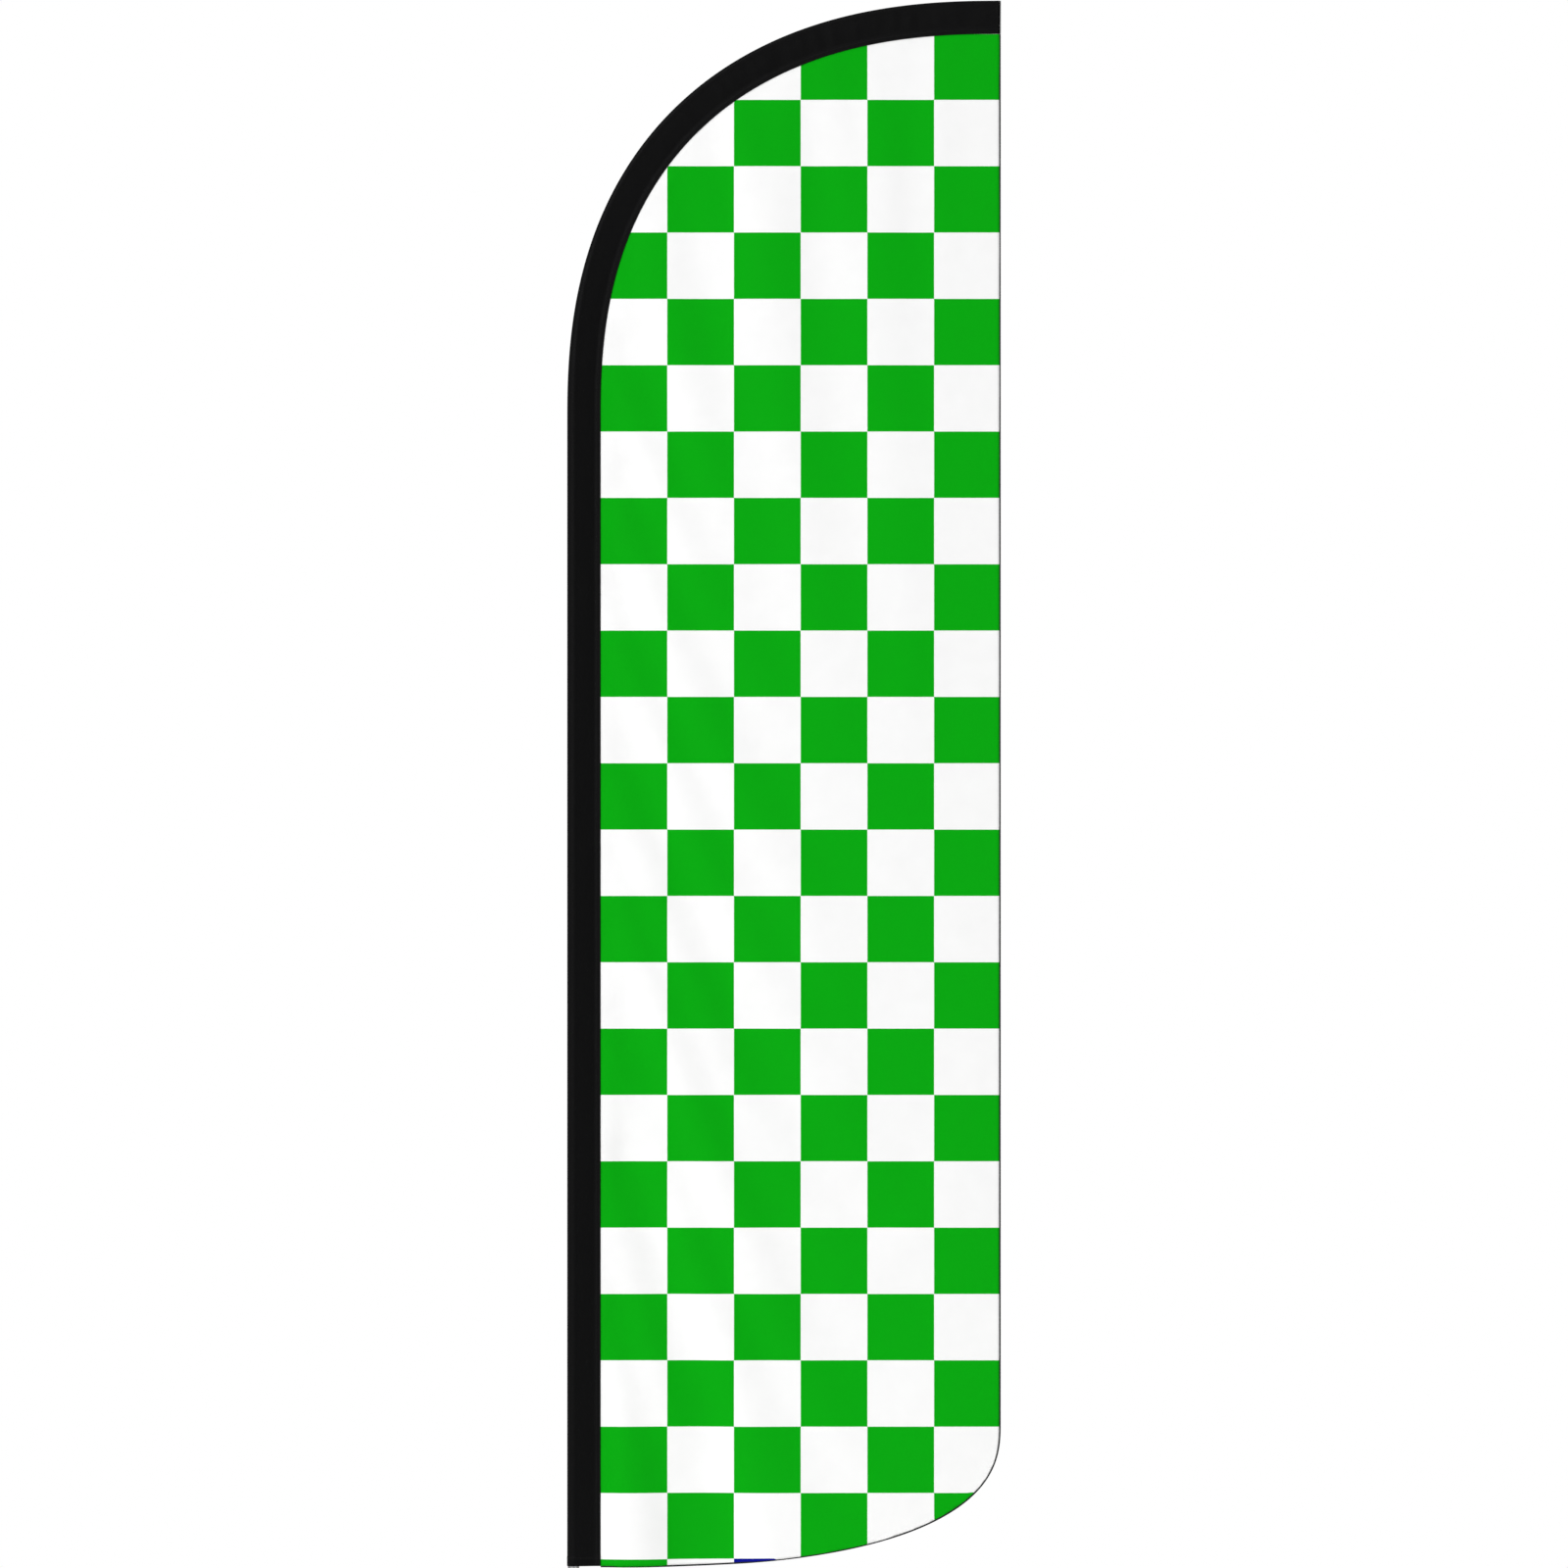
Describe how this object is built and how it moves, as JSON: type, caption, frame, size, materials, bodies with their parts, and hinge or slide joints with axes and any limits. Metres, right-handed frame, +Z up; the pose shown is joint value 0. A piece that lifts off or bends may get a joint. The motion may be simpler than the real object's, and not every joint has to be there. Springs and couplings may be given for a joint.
{
  "type": "feather flag",
  "caption": "Tall curved-top feather flag with green and white checks in a black pole sleeve, on a plug-together pole that turns on a ball-bearing ground spike.",
  "frame": {"origin": "on the pole's vertical axis, where the underside of the step plate meets the ground", "axes": "+Z up along the pole; +X from the pole to the flag's trailing edge; the flag hangs in the XZ plane"},
  "size_m": [1.0207, 0.05, 4.437],
  "materials": {
    "sleeve_fabric": "matt black woven polyester, 300 denier",
    "flag_fabric": "white knitted polyester, printed through with bright green checks",
    "edge_thread": "near-black overlock thread",
    "anodised_aluminium": "satin anodised tube",
    "zinc_steel": "zinc plated, slightly dull",
    "bearing_steel": "ground bearing steel",
    "black_nylon": "moulded nylon",
    "black_rubber": "matt nitrile rubber",
    "fibreglass": "pultruded and ground glass fibre, off-white"
  },
  "bodies": {
    "ground_stake": {"spike_rod": "zinc_steel", "step_plate": "zinc_steel", "bearing_housing": "zinc_steel", "housing_cap": "zinc_steel", "lower_bearing_outer_ring": "bearing_steel", "upper_bearing_outer_ring": "bearing_steel", "outer_spacer": "zinc_steel", "lower_bearing_bottom_seal": "black_rubber", "lower_bearing_top_seal": "black_rubber", "upper_bearing_bottom_seal": "black_rubber", "upper_bearing_top_seal": "black_rubber"},
    "ball_cages": {"lower_bearing_ball_cage": "bearing_steel", "upper_bearing_ball_cage": "bearing_steel"},
    "turning_spindle": {"spindle": "zinc_steel", "lower_bearing_inner_ring": "bearing_steel", "upper_bearing_inner_ring": "bearing_steel", "inner_spacer": "zinc_steel", "retaining_ring": "bearing_steel", "lower_o_ring": "black_rubber", "upper_o_ring": "black_rubber"},
    "bottom_pole": {"pole_section_1": "anodised_aluminium", "bottom_bush": "black_nylon"},
    "middle_pole": {"pole_section_2": "anodised_aluminium"},
    "top_pole": {"pole_section_3": "anodised_aluminium"},
    "flag_and_whip": {"whip_ferrule": "black_nylon", "fibreglass_whip": "fibreglass", "tip_cap": "black_rubber", "pole_sleeve": "sleeve_fabric", "tip_patch": "sleeve_fabric", "flag_panel": "flag_fabric", "edge_overlock": "edge_thread"}
  },
  "joints": [
    {"name": "pole_swivel", "type": "hinge", "parent": "ground_stake", "child": "turning_spindle", "pos_m": [0, 0, 0.0648], "axis": [0, 0, 1], "continuous": true},
    {"name": "cage_spin", "type": "hinge", "parent": "ground_stake", "child": "ball_cages", "pos_m": [0, 0, 0.0362], "axis": [0, 0, 1], "continuous": true},
    {"name": "pole_lift", "type": "slide", "parent": "turning_spindle", "child": "bottom_pole", "axis": [0, 0, 1], "range_m": [0, 0.165]},
    {"name": "middle_section_pull", "type": "slide", "parent": "bottom_pole", "child": "middle_pole", "axis": [0, 0, 1], "range_m": [0, 0.07]},
    {"name": "top_section_pull", "type": "slide", "parent": "middle_pole", "child": "top_pole", "axis": [0, 0, 1], "range_m": [0, 0.07]},
    {"name": "whip_pull", "type": "slide", "parent": "top_pole", "child": "flag_and_whip", "axis": [0, 0, 1], "range_m": [0, 0.07]}
  ],
  "couplings": [
    {"joint": "cage_spin", "follows": "pole_swivel", "ratio": 0.4}
  ]
}
